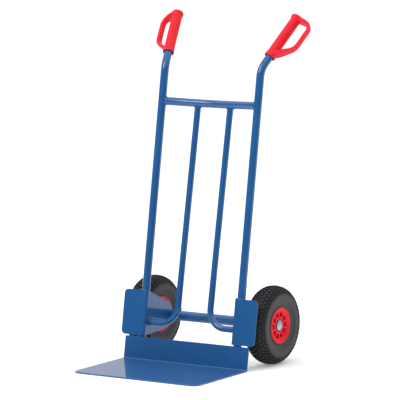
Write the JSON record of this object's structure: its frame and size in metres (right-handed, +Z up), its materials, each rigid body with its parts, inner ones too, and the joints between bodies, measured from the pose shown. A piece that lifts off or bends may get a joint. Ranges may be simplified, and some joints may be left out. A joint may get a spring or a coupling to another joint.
{
  "type": "hand truck",
  "caption": "Tubular steel hand truck with a folded toe plate, guarded pneumatic wheels on a through axle, and backswept handles with knuckle-guard grips.",
  "frame": {"origin": "on the floor, under the middle of the truck's overall width and depth", "axes": "+Z up; the load side with the toe plate faces -Y, the operator stands on the +Y side; the axle runs along X"},
  "size_m": [0.5826, 0.6488, 1.1403],
  "materials": {
    "blue_paint": "glossy blue powder coat",
    "red_plastic": "semi-gloss moulded red plastic",
    "tyre_rubber": "matt black rubber with a block tread",
    "tube_rubber": "smooth black rubber",
    "zinc_plate": "bright zinc plating",
    "bare_steel": "turned bright steel",
    "brass": "machined brass",
    "black_plastic": "matt black plastic"
  },
  "bodies": {
    "frame": {"toe_plate": "blue_paint", "top_cross_tube": "blue_paint", "axle_tube": "blue_paint", "axle_shaft": "bare_steel", "left_upright_tube": "blue_paint", "left_inner_tube": "blue_paint", "left_wheel_bracket": "blue_paint", "left_hand_grip": "red_plastic", "left_spacer_sleeve": "zinc_plate", "left_inner_washer": "zinc_plate", "left_outer_washer": "zinc_plate", "left_retaining_cap": "zinc_plate", "right_upright_tube": "blue_paint", "right_inner_tube": "blue_paint", "right_wheel_bracket": "blue_paint", "right_hand_grip": "red_plastic", "right_spacer_sleeve": "zinc_plate", "right_inner_washer": "zinc_plate", "right_outer_washer": "zinc_plate", "right_retaining_cap": "zinc_plate"},
    "left_wheel": {"left_tyre": "tyre_rubber", "left_air_tube": "tube_rubber", "left_rim_outer": "red_plastic", "left_rim_inner": "red_plastic", "left_hub_sleeve": "bare_steel", "left_outer_bearing": "bare_steel", "left_inner_bearing": "bare_steel", "left_valve_stem": "brass", "left_valve_cap": "black_plastic", "left_rim_screw_1": "zinc_plate", "left_rim_screw_2": "zinc_plate", "left_rim_screw_3": "zinc_plate", "left_rim_screw_4": "zinc_plate", "left_rim_screw_5": "zinc_plate"},
    "right_wheel": {"right_tyre": "tyre_rubber", "right_air_tube": "tube_rubber", "right_rim_outer": "red_plastic", "right_rim_inner": "red_plastic", "right_hub_sleeve": "bare_steel", "right_outer_bearing": "bare_steel", "right_inner_bearing": "bare_steel", "right_valve_stem": "brass", "right_valve_cap": "black_plastic", "right_rim_screw_1": "zinc_plate", "right_rim_screw_2": "zinc_plate", "right_rim_screw_3": "zinc_plate", "right_rim_screw_4": "zinc_plate", "right_rim_screw_5": "zinc_plate"}
  },
  "joints": [
    {"name": "left_wheel_spin", "type": "hinge", "parent": "frame", "child": "left_wheel", "pos_m": [-0.2325, 0.1467, 0.13], "axis": [1, 0, 0], "continuous": true},
    {"name": "right_wheel_spin", "type": "hinge", "parent": "frame", "child": "right_wheel", "pos_m": [0.2325, 0.1467, 0.13], "axis": [1, 0, 0], "continuous": true}
  ]
}
